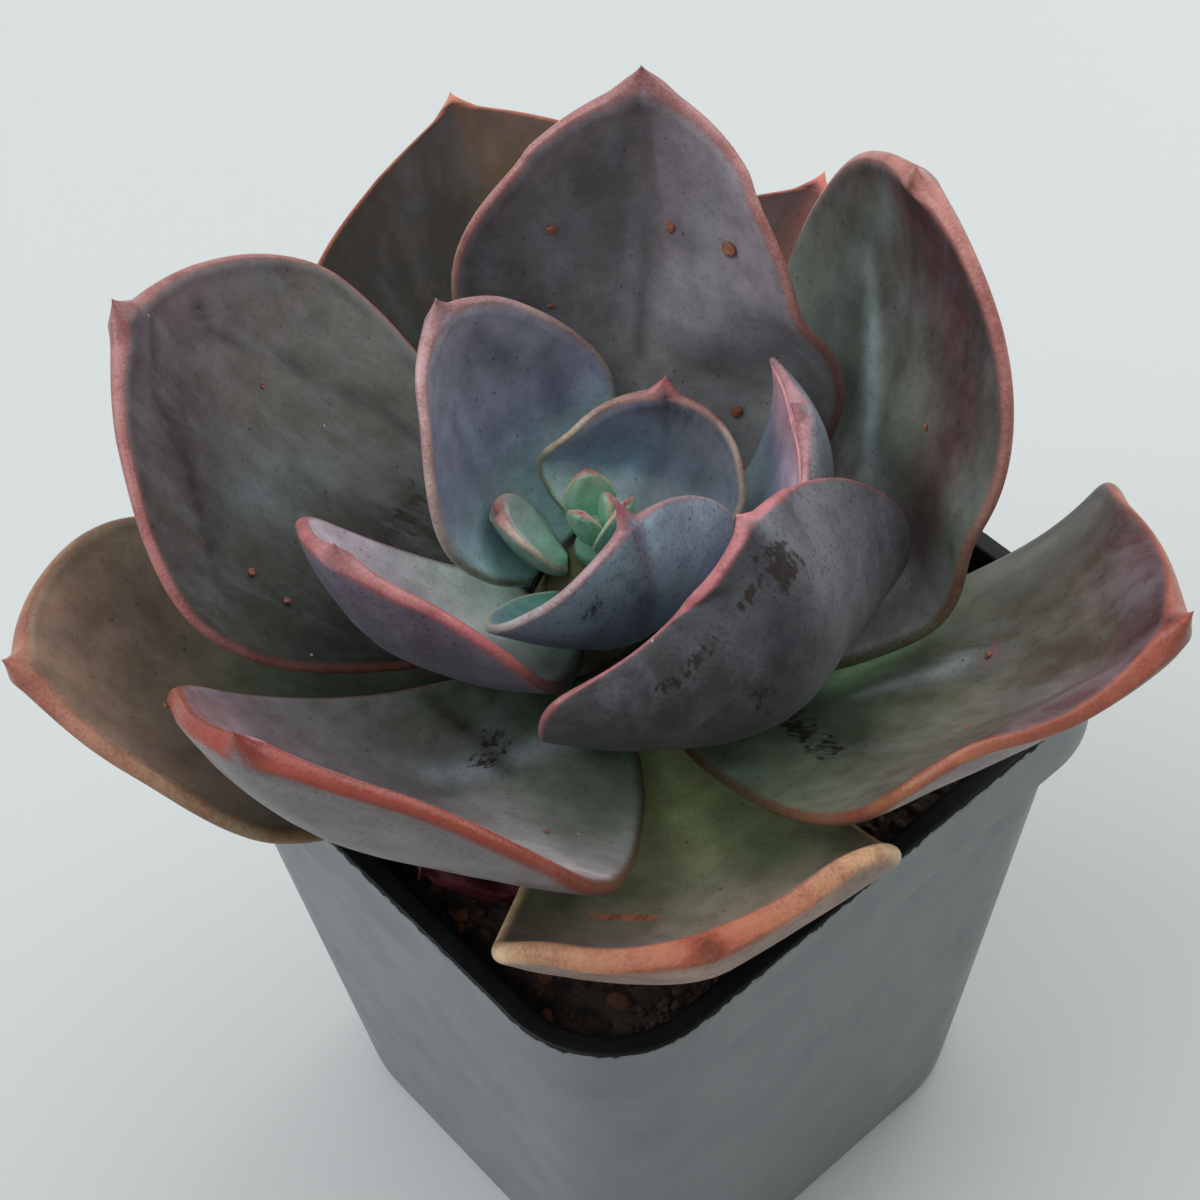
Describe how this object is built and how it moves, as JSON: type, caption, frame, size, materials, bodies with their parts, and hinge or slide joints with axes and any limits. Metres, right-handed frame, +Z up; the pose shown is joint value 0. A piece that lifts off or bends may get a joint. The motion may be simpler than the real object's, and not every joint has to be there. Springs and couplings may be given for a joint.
{
  "type": "potted echeveria",
  "caption": "Echeveria rosette of broad, cupped, pointed leaves in a spiral on a short stem, rooted in soil in a tapered square nursery pot.",
  "frame": {"origin": "middle of the pot's flat foot, on the surface it stands on", "axes": "+Z up; X and Y square to the pot's sides; the picture looks from between +X and -Y, from above"},
  "size_m": [0.1041, 0.099, 0.1243],
  "materials": {
    "pot_plastic": "satin",
    "soil_peat": "rough",
    "stem_skin": "matte",
    "heart_skin": "matte",
    "leaf_young_skin": "matte",
    "leaf_inner_skin": "matte",
    "leaf_wide_skin": "matte",
    "leaf_old_skin": "matte"
  },
  "bodies": {
    "root": {"pot": "pot_plastic", "soil": "soil_peat", "stem": "stem_skin", "heart_bud": "heart_skin", "leaf_young_1": "leaf_young_skin", "leaf_young_2": "leaf_young_skin", "leaf_young_3": "leaf_young_skin", "leaf_inner_1": "leaf_inner_skin", "leaf_inner_2": "leaf_inner_skin", "leaf_inner_3": "leaf_inner_skin", "leaf_inner_4": "leaf_inner_skin", "leaf_wide_1": "leaf_wide_skin", "leaf_wide_2": "leaf_wide_skin", "leaf_wide_3": "leaf_wide_skin", "leaf_wide_4": "leaf_wide_skin", "leaf_wide_5": "leaf_wide_skin", "leaf_old_1": "leaf_old_skin", "leaf_old_2": "leaf_old_skin", "leaf_old_3": "leaf_old_skin", "leaf_old_4": "leaf_old_skin", "leaf_old_5": "leaf_old_skin"}
  },
  "joints": []
}
